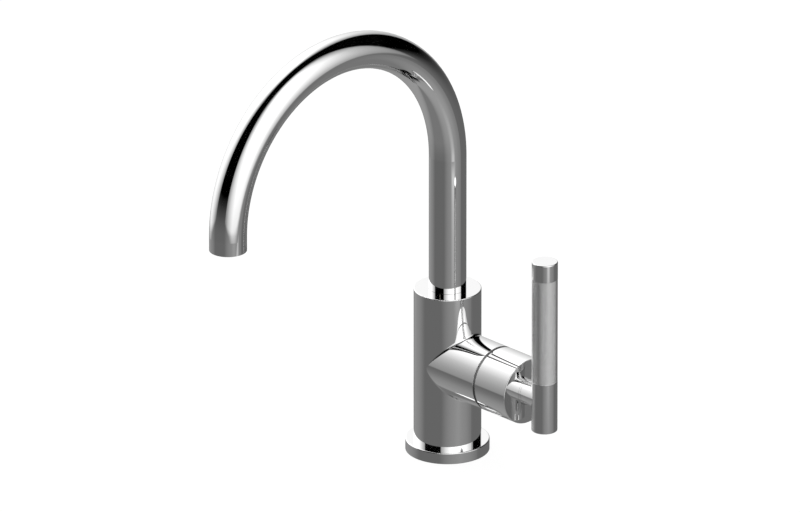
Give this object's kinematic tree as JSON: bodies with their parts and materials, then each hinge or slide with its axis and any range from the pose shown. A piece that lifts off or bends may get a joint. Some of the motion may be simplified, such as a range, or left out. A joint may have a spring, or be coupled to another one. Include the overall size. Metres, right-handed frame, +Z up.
{
  "type": "single-lever basin mixer",
  "caption": "Deck-mounted basin mixer with a swivel gooseneck spout, a flush side branch and a knurled bar lever that tilts for flow and turns for temperature.",
  "frame": {"origin": "centre of the round underside that sits on the deck", "axes": "+Z up along the body, -Y forwards along the spout, +X along the side branch to the lever"},
  "size_m": [0.1289, 0.2405, 0.3231],
  "materials": {
    "chrome_plate": "bright polished chrome plate over brass",
    "knurled_chrome": "chrome plate over fine diamond knurling",
    "bare_brass": "turned, unplated",
    "steel": "turned stainless steel",
    "rubber": "matt black",
    "grey_plastic": "moulded, fine matt",
    "white_plastic": "moulded, smooth matt",
    "red_plastic": "moulded, smooth matt",
    "ceramic": "lapped, satin white"
  },
  "bodies": {
    "base": {"base_flange": "chrome_plate", "body": "chrome_plate", "cartridge_nut": "bare_brass", "spout_retaining_screw": "steel", "base_seal": "rubber", "foot_ring": "rubber", "port_seals": "rubber", "disc_seals": "rubber", "spout_guide_ring": "white_plastic", "spout_thrust_washer": "white_plastic", "hub_bearing_ring": "white_plastic", "cartridge_base": "white_plastic", "cartridge_housing": "white_plastic", "temperature_limit_ring": "red_plastic", "fixed_disc": "ceramic"},
    "spout": {"spout_tube": "chrome_plate", "spout_tail": "bare_brass", "spout_o_rings": "rubber", "aerator_sleeve": "bare_brass", "aerator_body": "grey_plastic", "aerator_screen": "steel", "aerator_seal": "rubber"},
    "hub": {"hub_sleeve": "chrome_plate", "hub_grub_screw": "steel", "stem_guide": "white_plastic", "pivot_pin": "steel"},
    "lever": {"stem": "steel", "lever_arm": "chrome_plate", "handle_lower": "chrome_plate", "handle_grub_screw": "steel", "handle_core_rod": "steel", "knurled_grip": "knurled_chrome", "handle_cap": "chrome_plate"},
    "disc": {"disc_carrier": "white_plastic", "moving_disc": "ceramic"}
  },
  "joints": [
    {"name": "spout_swing", "type": "hinge", "parent": "base", "child": "spout", "pos_m": [0, 0, 0.1156], "axis": [0, 0, 1], "range_deg": [-60, 60]},
    {"name": "temperature_turn", "type": "hinge", "parent": "base", "child": "hub", "pos_m": [0.0747, 0, 0.0644], "axis": [1, 0, 0], "range_deg": [-45, 45]},
    {"name": "flow_tilt", "type": "hinge", "parent": "hub", "child": "lever", "pos_m": [0.0747, 0, 0.0644], "axis": [0, 1, 0], "range_deg": [0, 15]},
    {"name": "disc_slide", "type": "slide", "parent": "hub", "child": "disc", "axis": [0, 0, 1], "range_m": [0, 0.00529]}
  ],
  "couplings": [
    {"joint": "disc_slide", "follows": "flow_tilt", "m_per_rad": 0.020216}
  ]
}
